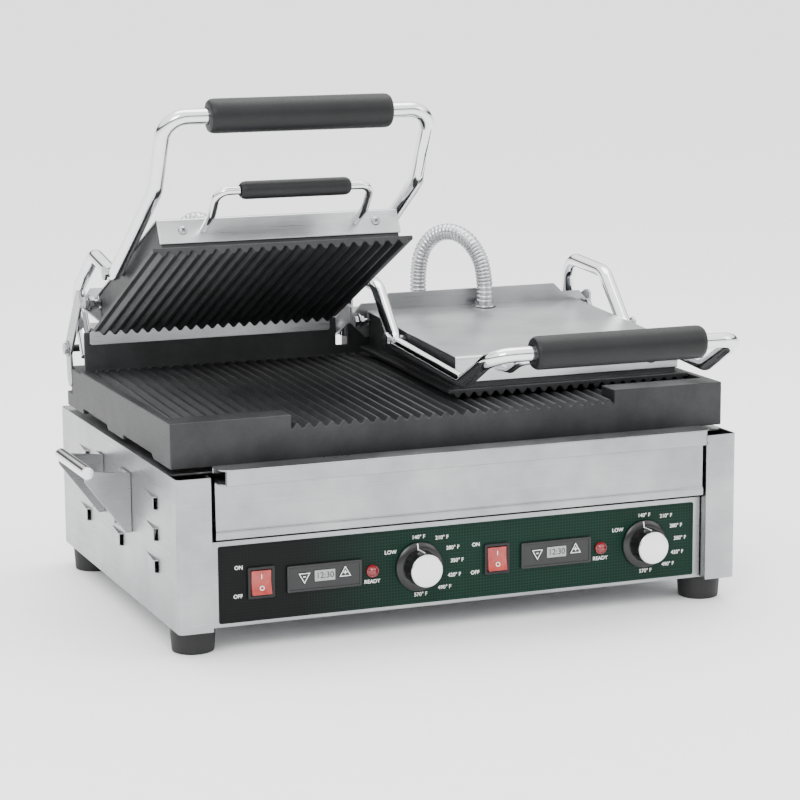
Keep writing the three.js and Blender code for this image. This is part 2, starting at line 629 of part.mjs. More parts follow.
// The armoured lead: straight up from the back wall, over, and down square to the cover.
// Its collar end travels with the lid, so the arch is drawn for the angle the lid stands at.
function conduitLine(lidAngle) {
  const [x, y] = conduit.foot;
  const [collarX, collarY] = conduit.collar;
  const collarZ = cover.top + (collarY - cover.front) * cover.rise;
  const turn = THREE.MathUtils.degToRad(-lidAngle);
  const withLid = (dy, dz) => new THREE.Vector3(
    collarX, hinge[0] + dy * Math.cos(turn) - dz * Math.sin(turn), hinge[1] + dy * Math.sin(turn) + dz * Math.cos(turn));
  const fromHinge = [collarY - hinge[0], collarZ - hinge[1]];
  const end = withLid(fromHinge[0], fromHinge[1] + 0.6);
  const square = withLid(fromHinge[0] - 1.2, fromHinge[1] + 24);
  const start = new THREE.Vector3(x, y, lower.backTop + GAP + 1.5);
  const up = new THREE.Vector3(x, y, lower.backTop + 36);
  const high = Math.max(...[322, square.z + 46].map((z) => Math.min(z, 338)));
  const apex = new THREE.Vector3(x + 15, (y + square.y) / 2 + 1, high);
  return new THREE.CatmullRomCurve3([start, up, apex, square, end], false, 'centripetal');
}

// A group that turns about an x-axis through (y, z): its parts keep the housing's coordinates.
function turningGroup(parent, [y, z], degrees) {
  const turn = new THREE.Group();
  turn.position.set(0, y, z);
  turn.rotation.x = THREE.MathUtils.degToRad(degrees);
  const inside = new THREE.Group();
  inside.position.set(0, -y, -z);
  turn.add(inside);
  parent.add(turn);
  return inside;
}

function addLid(name, side, open) {
  const middle = new THREE.Group();
  middle.position.x = side * lid.pitch / 2;
  base.add(middle);
  const lidAngle = open ? lid.openAngle : 0;

  const lidGroup = turningGroup(middle, hinge, -lidAngle);
  piece(`${name}_upper_plate`, upperPlate(), materials.castIron, lidGroup);
  piece(`${name}_cover`, lidCover(), materials.stainless, lidGroup);
  piece(`${name}_hinge_yoke`, hingeYoke(), materials.stainless, lidGroup);
  const heaterLine = heaterPath(0, 213, 96, 108, 290, 4);
  piece(`${name}_upper_heater`, rod(heaterLine, 4, 28, 6), materials.heater, lidGroup);
  piece(`${name}_lid_handle`, lidHandleTube(), materials.chrome, lidGroup);
  const { gripHalf, grip: gripRadius, radius, bar: barAt } = lidHandle;
  piece(`${name}_lid_handle_grip`, gripSleeve(gripHalf, gripRadius, radius + 0.4, barAt), materials.handleBlack, lidGroup);
  piece(`${name}_pivot_bolt_outer`, pivotBolt(side), materials.zinc, lidGroup);
  piece(`${name}_pivot_bolt_inner`, pivotBolt(-side), materials.zinc, lidGroup);

  const armGroup = turningGroup(lidGroup, pivotOnTube(), open ? -arm.openAngle : 0);
  piece(`${name}_arm`, armTube(), materials.chrome, armGroup);
  piece(`${name}_grip`, gripSleeve(grip.half, grip.radius, grip.bore, armHandle), materials.handleBlack, armGroup);

  const conduitBody = rod(conduitLine(lidAngle), conduit.radius, conduit.steps, conduit.sides);
  piece(`${name}_conduit`, conduitBody, materials.zinc, middle);
}

// ---------------------------------------------------------------- assembly
piece('housing_shell', housingShell(), materials.stainless);
piece('base_pan', basePan(), materials.stainless);
piece('top_deck', topDeck(), materials.stainless);
piece('lower_plate', lowerPlate(), materials.castIron);
piece('control_panel', controlPanel(), materials.stainless);
piece('panel_overlay', panelOverlay(), materials.overlay);
piece('drip_tray', dripTray(), materials.stainless);
piece('drip_tray_front', drawerFront(), materials.stainless);
piece('cord_gland', cordGland(), materials.blackPlastic);
piece('terminal_block', terminalBlock(), materials.ceramic);

for (const [name, side] of sides) {
  const middle = side * controls.module;
  piece(`${name}_rear_strip`, rearStrip(side), materials.stainless);
  piece(`${name}_side_handle`, liftingHandle(side), materials.stainless);
  const lowerHeater = heaterPath(side * 143, lower.bottom + 8, 110, 60, 300, 4);
  piece(`${name}_lower_heater`, rod(lowerHeater, 4, 28, 6), materials.heater);

  for (const [end, y] of [['front', foot.insetY], ['rear', housing.depth - foot.insetY]]) {
    const footMesh = piece(`${name}_${end}_foot`, footBody(), materials.rubber);
    footMesh.position.set(side * (housing.width / 2 - foot.insetX), y, 0);
  }

  piece(`${name}_rocker_switch`, rockerSwitch(middle + controls.rocker), materials.blackPlastic);
  const rockerMesh = piece(`${name}_rocker`, rockerKey(), materials.rockerRed);
  rockerMesh.position.set(middle + controls.rocker, panel.face - 3.4, controls.z);
  rockerMesh.rotation.x = THREE.MathUtils.degToRad(-rocker.tilt);

  const timerX = middle + controls.timer;
  piece(`${name}_timer`, timerCase(timerX), materials.blackPlastic);
  for (const [label, direction] of [['minus', -1], ['plus', 1]]) {
    const keyMesh = piece(`${name}_timer_${label}`, timerKey(direction, 0, 1.6), materials.handleBlack);
    keyMesh.position.set(timerX + direction * key.offset, panel.face - overlay.thickness - GAP - 2.5, controls.z + key.rise);
  }

  piece(`${name}_pilot_lamp`, pilotLamp(middle + controls.lamp), materials.redLens);
  piece(`${name}_knob`, knobBody(middle + controls.knob), materials.blackPlastic);
  piece(`${name}_knob_cap`, knobCap(middle + controls.knob), materials.aluminium);
  piece(`${name}_thermostat`, thermostat(middle + controls.knob), materials.zinc);
}

addLid('left', -1, true);
addLid('right', 1, false);

export default grill;
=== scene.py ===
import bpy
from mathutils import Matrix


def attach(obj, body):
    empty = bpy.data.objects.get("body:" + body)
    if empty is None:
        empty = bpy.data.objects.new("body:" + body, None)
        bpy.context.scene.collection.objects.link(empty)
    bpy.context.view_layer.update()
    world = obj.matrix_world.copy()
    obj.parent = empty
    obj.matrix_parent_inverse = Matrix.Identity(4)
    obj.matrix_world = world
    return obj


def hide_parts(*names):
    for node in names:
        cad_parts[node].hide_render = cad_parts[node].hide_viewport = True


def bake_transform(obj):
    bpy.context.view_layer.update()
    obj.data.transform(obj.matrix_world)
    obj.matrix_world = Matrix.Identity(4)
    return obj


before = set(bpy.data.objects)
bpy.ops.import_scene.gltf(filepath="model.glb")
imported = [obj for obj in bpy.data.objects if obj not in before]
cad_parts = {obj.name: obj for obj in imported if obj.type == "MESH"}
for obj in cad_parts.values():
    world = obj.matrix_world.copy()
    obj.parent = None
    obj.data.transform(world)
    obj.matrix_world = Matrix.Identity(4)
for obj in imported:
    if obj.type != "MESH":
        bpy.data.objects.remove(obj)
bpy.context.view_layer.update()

import math
import bmesh
import bpy
from mathutils import Matrix, Vector


# ---- Camera
# A long lens looks slightly down on the grill from its left front corner.
camera_data = bpy.data.cameras.new("camera")
camera_data.lens = 118.1
camera_data.sensor_width = 36
camera_data.clip_end = 100
camera = bpy.data.objects.new("camera", camera_data)
right = Vector((0.92999619, -0.3675038, -0.0069316))
down = Vector((-0.07081611, -0.16063713, -0.9844698))
forward = Vector((0.36068292, 0.91604403, -0.1754171))
camera.matrix_world = Matrix((right, -down, -forward)).transposed().to_4x4()
camera.matrix_world.translation = (-0.95976, -2.45732, 0.66293)
bpy.context.scene.collection.objects.link(camera)
bpy.context.scene.camera = camera


# ---- Surfaces
# Colours are written as sRGB hex values and turned to linear light here.
def linear(colour):
    channels = [int(colour[i:i + 2], 16) / 255 for i in (1, 3, 5)]
    return [c / 12.92 if c <= 0.04045 else ((c + 0.055) / 1.055) ** 2.4 for c in channels] + [1.0]


def add(tree, kind, sockets=None, **settings):
    """Adds one node with its settings; a socket is given a value or the output that feeds it."""
    made = tree.nodes.new(kind)
    for name, value in settings.items():
        setattr(made, name, value)
    for name, value in (sockets or {}).items():
        if isinstance(value, bpy.types.NodeSocket):
            tree.links.new(value, made.inputs[name])
        else:
            made.inputs[name].default_value = value
    return made


def material(name, **surface):
    """A named material with a Principled surface; returns it with its tree and surface."""
    made = bpy.data.materials.new(name)
    made.use_nodes = True
    tree = made.node_tree
    tree.nodes.clear()
    shader = add(tree, "ShaderNodeBsdfPrincipled", surface)
    add(tree, "ShaderNodeOutputMaterial", {"Surface": shader.outputs["BSDF"]})
    return made, tree, shader


def grained(tree, scale, detail=4, roughness=0.6):
    """Noise in real millimetres: scale is how many grains fit in a metre along x, y and z."""
    where = add(tree, "ShaderNodeTexCoord").outputs["Object"]
    mapped = add(tree, "ShaderNodeMapping", {"Vector": where, "Scale": scale}).outputs["Vector"]
    settings = {"Vector": mapped, "Scale": 1.0, "Detail": detail, "Roughness": roughness}
    return add(tree, "ShaderNodeTexNoise", settings).outputs["Fac"]


def ranged(tree, value, low, high, start=0.3, end=0.7):
    ramp = {"Value": value, "From Min": start, "From Max": end, "To Min": low, "To Max": high}
    return add(tree, "ShaderNodeMapRange", ramp).outputs["Result"]


def blended(tree, factor, first, second):
    colours = {0: factor, 6: linear(first), 7: linear(second)}
    return add(tree, "ShaderNodeMix", colours, data_type="RGBA").outputs[2]


def tint(tree, shader, factor, first, second):
    """Lets the surface colour run between two colours."""
    tree.links.new(blended(tree, factor, first, second), shader.inputs["Base Color"])


# Brushed stainless sheet: long fine scratches one way, a little smudged by handling.
# The grain is drawn about 1 mm wide, coarser than the real 0.1 mm, so that it shows.
def brushed_steel(name, scale, colour="#A9AAAB", smudge="#8F9193", rough=(0.24, 0.4)):
    made, tree, shader = material(name, Metallic=1.0)
    lines = grained(tree, scale, detail=5, roughness=0.7)
    clouds = grained(tree, (14, 14, 14), detail=3)
    tint(tree, shader, ranged(tree, clouds, 0, 1), colour, smudge)
    tree.links.new(ranged(tree, lines, *rough), shader.inputs["Roughness"])
    bump = add(tree, "ShaderNodeBump", {"Height": lines, "Strength": 0.12, "Distance": 0.0003})
    tree.links.new(bump.outputs["Normal"], shader.inputs["Normal"])
    return made


steel_level = brushed_steel("stainless_grain_level", (9, 9, 1100))
steel_across = brushed_steel("stainless_grain_across", (9, 1100, 1100), colour="#C2C3C4", smudge="#A9ABAD")


# ---- Floor and light
# A wide pale floor, two soft boxes and a bright room, as in a product studio.
floor_mesh = bmesh.new()
bmesh.ops.create_grid(floor_mesh, x_segments=1, y_segments=1, size=60)
floor_data = bpy.data.meshes.new("floor")
floor_mesh.to_mesh(floor_data)
floor_mesh.free()
floor = bpy.data.objects.new("floor", floor_data)
bpy.context.scene.collection.objects.link(floor)
floor_paint, floor_tree, floor_shader = material("pale_floor", Roughness=0.6)
floor_speck = ranged(floor_tree, grained(floor_tree, (40, 40, 40)), 0, 1)
tint(floor_tree, floor_shader, floor_speck, "#FFFFFF", "#FCFCFD")
floor_data.materials.append(floor_paint)

world = bpy.data.worlds.new("studio")
world.use_nodes = True
sky = world.node_tree
sky.nodes.clear()
direction = add(sky, "ShaderNodeTexCoord").outputs["Generated"]
height = add(sky, "ShaderNodeSeparateXYZ", {0: direction}).outputs["Z"]
bands = add(sky, "ShaderNodeValToRGB", {"Fac": height})
for place, grey in ((0.0, 0.9), (0.06, 0.7), (0.14, 0.04), (0.26, 0.06), (0.36, 0.8), (1.0, 1.0)):
    stop = bands.color_ramp.elements.new(place)
    stop.color = (grey, grey, grey, 1)
light = add(sky, "ShaderNodeBackground", {"Color": bands.outputs["Color"], "Strength": 2.8})
add(sky, "ShaderNodeOutputWorld", {"Surface": light.outputs["Background"]})
bpy.context.scene.world = world


def soft_box(name, place, target, size, watts):
    lamp = bpy.data.lights.new(name, "AREA")
    lamp.shape = "RECTANGLE"
    lamp.size, lamp.size_y = size
    lamp.energy = watts
    made = bpy.data.objects.new(name, lamp)
    made.location = place
    made.rotation_euler = (Vector(target) - Vector(place)).to_track_quat("-Z", "Y").to_euler()
    bpy.context.scene.collection.objects.link(made)


soft_box("key_light", (-1.8, -2.6, 2.6), (0, 0, 0.2), (1.6, 1.6), 60)
soft_box("fill_light", (2.4, -1.6, 1.5), (0, 0, 0.2), (1.4, 1.8), 16)
soft_box("top_light", (0.2, 0.4, 2.6), (0, 0, 0.2), (2.2, 1.6), 45)


# ---- Folded and cast pieces: how they are finished
# Real sheet and castings have no knife edges, so each visible piece is the frame's own
# shape with its edges rounded by the small radius that a press or a mould leaves.
def show(name, mesh, paint, body, bends=35, replaces=()):
    """Turns a bmesh into a shown piece that rides on a body."""
    for face in mesh.faces:
        face.smooth = True
    for edge in mesh.edges:
        edge.smooth = len(edge.link_faces) == 2 and edge.calc_face_angle(0) < math.radians(bends)
    data = bpy.data.meshes.new(name)
    mesh.to_mesh(data)
    mesh.free()
    for coat in paint if isinstance(paint, (list, tuple)) else [paint]:
        data.materials.append(coat)
    made = bpy.data.objects.new(name, data)
    bpy.context.scene.collection.objects.link(made)
    normals = made.modifiers.new("flat_faces_stay_flat", "WEIGHTED_NORMAL")
    normals.keep_sharp = True
    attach(made, body)
    if replaces:
        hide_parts(*replaces)
    return made


def rounded_edges(mesh, radius, segments=2, angle=32):
    sharp = [e for e in mesh.edges if len(e.link_faces) == 2 and e.calc_face_angle(0) > math.radians(angle)]
    bmesh.ops.bevel(mesh, geom=sharp, offset=radius, offset_type="OFFSET", affect="EDGES",
                    segments=segments, profile=0.5, material=-1, clamp_overlap=False)


def softened(node, radius, paint, body, segments=2, angle=32, second=None):
    mesh = bmesh.new()
    mesh.from_mesh(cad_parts[node].data)
    bmesh.ops.remove_doubles(mesh, verts=mesh.verts, dist=2e-5)
    bmesh.ops.dissolve_limit(mesh, angle_limit=math.radians(0.8), verts=mesh.verts, edges=mesh.edges)
    rounded_edges(mesh, radius, segments, angle)
    for face in mesh.faces if second else []:
        face.material_index = int(second(face.calc_center_median()))
    return show(node + "_finished", mesh, paint, body, replaces=[node])


def coat(node, paint):
    """Gives a piece that stays as the frame has it its own material."""
    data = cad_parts[node].data
    data.materials.clear()
    data.materials.append(paint)


# The housing is one wrapped sheet of 1.5 mm stainless with pressed louvres in its sides.
softened("housing_shell", 0.0005, steel_level, "base")
softened("control_panel", 0.0004, steel_level, "base")
for node in ("base_pan", "top_deck"):
    coat(node, steel_across)
SIDES = (("left", -1), ("right", 1))
for side, _ in SIDES:
    softened(f"{side}_rear_strip", 0.0004, steel_across, "base")


# ---- Lower plate
# Sand-cast iron with a black baked coat; the sand leaves a fine pebbled skin, and the
# crests are a little greyer where food and scrapers have rubbed them.
def cast_iron(name, colour="#1D1E1F", worn="#303133", grit=700):
    made, tree, shader = material(name, Metallic=0.1)
    skin = grained(tree, (grit, grit, grit), detail=3)
    patches = grained(tree, (28, 28, 28), detail=4)
    tint(tree, shader, ranged(tree, patches, 0, 1, 0.35, 0.8), colour, worn)
    tree.links.new(ranged(tree, skin, 0.42, 0.62), shader.inputs["Roughness"])
    bump = add(tree, "ShaderNodeBump", {"Height": skin, "Strength": 0.35, "Distance": 0.0004})
    tree.links.new(bump.outputs["Normal"], shader.inputs["Normal"])
    return made


iron = cast_iron("coated_cast_iron")
softened("lower_plate", 0.0011, iron, "base", segments=3)


# ---- Drip drawer
# A folded stainless front with a hollow pull lip, and the shallow tray behind it.
softened("drip_tray_front", 0.0009, steel_level, "drip_drawer", segments=3)
coat("drip_tray", steel_across)


# ---- Feet
# Moulded rubber bumpers, slightly tapered, each held by one screw from below.
rubber, rubber_tree, rubber_shader = material("black_rubber", Roughness=0.62)
rubber_skin = grained(rubber_tree, (500, 500, 500))
tint(rubber_tree, rubber_shader, rubber_skin, "#0C0C0D", "#161617")


def turned(profile, place, axis="Z", steps=40):
    """Spins a profile of (radius, height) pairs round an axis through place."""
    mesh = bmesh.new()
    corners = [mesh.verts.new((r, 0, h)) for r, h in profile]
    edges = [mesh.edges.new(pair) for pair in zip(corners, corners[1:])]
    bmesh.ops.spin(mesh, geom=corners + edges, cent=(0, 0, 0), axis=(0, 0, 1), dvec=(0, 0, 0),
                   angle=math.tau, steps=steps, use_merge=True, use_duplicate=False)
    bmesh.ops.remove_doubles(mesh, verts=mesh.verts, dist=1e-6)
    bmesh.ops.recalc_face_normals(mesh, faces=mesh.faces)
    facing = {"Z": Matrix.Identity(4), "Y": Matrix.Rotation(math.pi / 2, 4, "X"),
              "X": Matrix.Rotation(math.pi / 2, 4, "Y")}[axis]
    bmesh.ops.transform(mesh, matrix=Matrix.Translation(place) @ facing, verts=mesh.verts)
    return mesh


foot_profile = [(0, 0), (0.0185, 0), (0.0198, 0.0006), (0.0202, 0.002), (0.0215, 0.0205), (0.0212, 0.0228),
                (0.0202, 0.0236), (0, 0.0236)]
for side, sign in SIDES:
    for end, y in (("front", -0.162), ("rear", 0.192)):
        shape = turned(foot_profile, (sign * 0.267, y, 0))
        show(f"{side}_{end}_foot_moulded", shape, rubber, "base", replaces=[f"{side}_{end}_foot"])


# ---- Lifting handles
# Stainless gussets bolted to each side panel, with a polished round bar between them.
chrome, chrome_tree, chrome_shader = material("bright_chrome", Metallic=1.0)
chrome_haze = grained(chrome_tree, (30, 30, 30))
tint(chrome_tree, chrome_shader, chrome_haze, "#E9EAEB", "#DEDFE1")
chrome_tree.links.new(ranged(chrome_tree, chrome_haze, 0.045, 0.1), chrome_shader.inputs["Roughness"])
zinc, zinc_tree, zinc_shader = material("zinc_plate", Metallic=1.0)
zinc_spots = grained(zinc_tree, (220, 220, 220))
tint(zinc_tree, zinc_shader, zinc_spots, "#B9BBBD", "#8F9193")
zinc_tree.links.new(ranged(zinc_tree, zinc_spots, 0.22, 0.4), zinc_shader.inputs["Roughness"])


def hexagon(place, axis, across, thick):
    """A hexagonal nut or bolt head with its corners turned off."""
    mesh = bmesh.new()
    bmesh.ops.create_cone(mesh, segments=6, radius1=across / math.sqrt(3), radius2=across / math.sqrt(3),
                          depth=thick, cap_ends=True)
    rounded_edges(mesh, 0.0004)
    facing = {"X": Matrix.Rotation(math.pi / 2, 4, "Y"), "Y": Matrix.Rotation(math.pi / 2, 4, "X")}[axis]
    bmesh.ops.transform(mesh, matrix=Matrix.Translation(place) @ facing, verts=mesh.verts)
    return mesh


def gathered(meshes):
    """Puts several small shapes into one piece."""
    whole = bmesh.new()
    for mesh in meshes:
        part = bpy.data.meshes.new("part")
        mesh.to_mesh(part)
        mesh.free()
        whole.from_mesh(part)
        bpy.data.meshes.remove(part)
    return whole


def washer(place, axis, outer, inner, thick):
    half = thick / 2
    ring = [(inner, -half), (outer, -half), (outer, half), (inner, half), (inner, -half)]
    return turned(ring, place, axis, steps=24)


for side, sign in SIDES:
    softened(f"{side}_side_handle", 0.0005, [steel_level, chrome], "base",
             second=lambda at: math.hypot(abs(at.x) - 0.333, at.z - 0.152) < 0.0066)
    nuts = []
    for y, z in ((0.065, 0.142), (0.068, 0.096), (-0.016, 0.142), (-0.014, 0.096)):
        nuts.append(washer((sign * 0.2934, y, z), "X", 0.0062, 0.0026, 0.0010))
        nuts.append(hexagon((sign * 0.2958, y, z), "X", 0.008, 0.0038))
        nuts.append(turned([(0, -0.002), (0.0024, -0.002), (0.0024, 0.002), (0, 0.002)],
                           (sign * 0.2985, y, z), "X", steps=16))
    show(f"{side}_handle_nuts", gathered(nuts), zinc, "base")


# ---- Control panel film
# Printed polycarbonate: a woven-look grid of 3 mm squares, black at the left and bottle
# green further right, stuck on the recessed stainless panel.
film, film_tree, film_shader = material("printed_polycarbonate", Roughness=0.5)
film_shader.inputs["Specular IOR Level"].default_value = 0.15
where = add(film_tree, "ShaderNodeTexCoord").outputs["Object"]
split = add(film_tree, "ShaderNodeSeparateXYZ", {0: where})


GRID = 0.003


def grid_line(axis):
    """One where the 3 mm grid line runs, counted along one axis."""
    along = {0: split.outputs[axis], 1: GRID}
    counted = add(film_tree, "ShaderNodeMath", along, operation="DIVIDE").outputs[0]
    part = add(film_tree, "ShaderNodeMath", {0: counted}, operation="FRACT").outputs[0]
    return add(film_tree, "ShaderNodeMath", {0: part, 1: 0.62}, operation="GREATER_THAN").outputs[0]


both_ways = {0: grid_line("X"), 1: grid_line("Z")}
weave = add(film_tree, "ShaderNodeMath", both_ways, operation="MAXIMUM").outputs[0]
to_green = ranged(film_tree, split.outputs["X"], 0, 1, -0.17, -0.06)
ground = blended(film_tree, to_green, "#030404", "#04150F")
mesh_line = blended(film_tree, to_green, "#0A0D0D", "#072C21")
film_mix = {0: weave, 6: ground, 7: mesh_line}
film_colour = add(film_tree, "ShaderNodeMix", film_mix, data_type="RGBA").outputs[2]
film_tree.links.new(film_colour, film_shader.inputs["Base Color"])
coat("panel_overlay", film)


# Marks are screen printed in white on the film: switch words and dial temperatures.
ink, ink_tree, ink_shader = material("white_ink", Roughness=0.5)
ink_wear = grained(ink_tree, (300, 300, 300))
tint(ink_tree, ink_shader, ink_wear, "#F4F4F2", "#E2E3E1")
FILM_FACE = -0.1857


def lettering(words, size):
    """Flat words and numbers facing the front: each is (text, x, z)."""
    made = []
    for text, x, z in words:
        curve = bpy.data.curves.new("letters", "FONT")
        curve.body = text
        curve.size = size
        curve.align_x = "CENTER"
        curve.align_y = "CENTER"
        curve.offset = size * 0.012
        holder = bpy.data.objects.new("letters", curve)
        flat = bpy.data.meshes.new_from_object(holder)
        mesh = bmesh.new()
        mesh.from_mesh(flat)
        place = Matrix.Translation((x, 0, z)) @ Matrix.Rotation(math.pi / 2, 4, "X")
        bmesh.ops.transform(mesh, matrix=place, verts=mesh.verts)
        made.append(mesh)
        bpy.data.objects.remove(holder)
    return gathered(made)


MODULE, PANEL_Z = 0.1203, 0.065
marks = []
for side, sign in SIDES:
    middle = sign * MODULE
    switch_x, lamp_x, dial_x = middle - 0.0864, middle + 0.0252, middle + 0.073
    marks += [("ON", switch_x - 0.0215, PANEL_Z + 0.0155), ("OFF", switch_x - 0.0225, PANEL_Z - 0.012),
              ("READY", lamp_x, PANEL_Z - 0.0105)]
    dial = (("LOW", 151, 33), ("140° F", 90, 28.5), ("210° F", 47, 35.5), ("280° F", 23, 38.5),
            ("350° F", 3, 40), ("420° F", -18, 39), ("490° F", -41, 35.5), ("570° F", -86, 28))
    for text, angle, reach in dial:
        turn = math.radians(angle)
        marks.append((text, dial_x + reach / 1000 * math.cos(turn), PANEL_Z + reach / 1000 * math.sin(turn)))
printed = lettering(marks, 0.0052)
bmesh.ops.translate(printed, vec=(0, FILM_FACE, 0), verts=printed.verts)
show("panel_printing", printed, ink, "base")


# ---- Rocker switches
# Snap-in rockers: a moulded black bezel and a translucent red key lit from behind.
black_abs, abs_tree, abs_shader = material("black_moulded_plastic", Roughness=0.38)
abs_shader.inputs["Specular IOR Level"].default_value = 0.3
abs_skin = grained(abs_tree, (400, 400, 400))
tint(abs_tree, abs_shader, abs_skin, "#141415", "#1E1E20")
lens, lens_tree, lens_shader = material("lit_red_polycarbonate", Roughness=0.2)
lens_glow = grained(lens_tree, (90, 90, 90))
lens_colour = blended(lens_tree, ranged(lens_tree, lens_glow, 0, 1), "#A8443F", "#8A2D2A")
lens_tree.links.new(lens_colour, lens_shader.inputs["Base Color"])
lens_tree.links.new(lens_colour, lens_shader.inputs["Emission Color"])
lens_shader.inputs["Emission Strength"].default_value = 0.18

for side, sign in SIDES:
    x = sign * MODULE - 0.0864
    softened(f"{side}_rocker_switch", 0.0006, black_abs, "base")
    softened(f"{side}_rocker", 0.0007, lens, f"{side}_rocker_key", segments=3)
    tilt = Matrix.Translation((x, -0.1884, PANEL_Z)) @ Matrix.Rotation(math.radians(-6), 4, "X")
    symbols = lettering([("I", 0, 0.0055), ("O", 0, -0.0055)], 0.0062)
    for vertex in symbols.verts:
        vertex.co.y = -0.0016 + 0.0014 * (1 - abs(vertex.co.z) / 0.0117)
    bmesh.ops.transform(symbols, matrix=tilt, verts=symbols.verts)
    show(f"{side}_rocker_symbols", symbols, ink, f"{side}_rocker_key")


# ---- Timers
# A charcoal bezel with a grey liquid-crystal window between two triangular keys.
charcoal, charcoal_tree, charcoal_shader = material("charcoal_moulded_plastic", Roughness=0.45)
charcoal_skin = grained(charcoal_tree, (400, 400, 400))
tint(charcoal_tree, charcoal_shader, charcoal_skin, "#151617", "#1D1E1F")
crystal, crystal_tree, crystal_shader = material("liquid_crystal_glass", Roughness=0.16)
crystal_fog = grained(crystal_tree, (60, 60, 60))
tint(crystal_tree, crystal_shader, crystal_fog, "#8A8F8C", "#9CA19D")
segment_ink, segment_tree, segment_shader = material("dark_display_segments", Roughness=0.3)
segment_fade = grained(segment_tree, (200, 200, 200))
tint(segment_tree, segment_shader, segment_fade, "#16181A", "#26292B")


def plate_block(place, size, bevel=0.0003):
    mesh = bmesh.new()
    bmesh.ops.create_cube(mesh, size=1, matrix=Matrix.Translation(place) @ Matrix.Diagonal((*size, 1)))
    rounded_edges(mesh, bevel)
    return mesh


def triangle_ring(place, points_up, outer, inner):
    """A flat triangular outline round a timer key's sign, facing the front."""
    mesh = bmesh.new()
    corners = [math.radians((90 if points_up else -90) + 120 * i) for i in range(3)]
    x, y, z = place
    rings = [[mesh.verts.new((x + r * math.cos(t), y, z + r * math.sin(t))) for t in corners]
             for r in (outer, inner)]
    for i in range(3):
        j = (i + 1) % 3
        mesh.faces.new((rings[0][i], rings[0][j], rings[1][j], rings[1][i]))
    return mesh


for side, sign in SIDES:
    x = sign * MODULE - 0.0235
    softened(f"{side}_timer", 0.0005, charcoal, "base")
    window = plate_block((x, -0.1884, PANEL_Z + 0.0012), (0.0205, 0.0010, 0.0105))
    show(f"{side}_timer_window", window, crystal, "base")
    digits = lettering([("12:30", x, PANEL_Z + 0.0012)], 0.0082)
    bmesh.ops.translate(digits, vec=(0, -0.18895, 0), verts=digits.verts)
    show(f"{side}_timer_digits", digits, segment_ink, "base")
    for key, direction, text in (("minus", -1, "-"), ("plus", 1, "+")):
        node = f"{side}_timer_{key}"
        coat(node, charcoal)
        at = (x + direction * 0.0205, -0.1886, PANEL_Z + 0.0015)
        sign_mark = lettering([(text, at[0], at[2] + (0.0002 if direction > 0 else 0.0006))], 0.0085)
        bmesh.ops.translate(sign_mark, vec=(0, at[1], 0), verts=sign_mark.verts)
        outline = triangle_ring(at, direction > 0, 0.0068, 0.0053)
        show(f"{side}_{key}_key_print", gathered([sign_mark, outline]), ink, f"{side}_{key}_key")


# ---- Pilot lamps
# A domed red lens with a rib pattern inside, pressed into the panel.
jewel, jewel_tree, jewel_shader = material("red_lens_plastic", Roughness=0.18)
jewel_cells = grained(jewel_tree, (700, 700, 700))
tint(jewel_tree, jewel_shader, jewel_cells, "#5E0A12", "#8E1A24")
jewel_shader.inputs["Coat Weight"].default_value = 0.6
lamp_profile = [(0, 0.0046), (0.0022, 0.0042), (0.0041, 0.0029), (0.0051, 0.0014), (0.0059, 0.0012),
                (0.0062, 0.0006), (0.0062, -0.0008), (0.0052, -0.0009), (0.0052, -0.02), (0, -0.02)]
for side, sign in SIDES:
    shape = turned(lamp_profile, (sign * MODULE + 0.0252, -0.1868, PANEL_Z), "Y")
    show(f"{side}_pilot_lens", shape, jewel, "base", replaces=[f"{side}_pilot_lamp"])


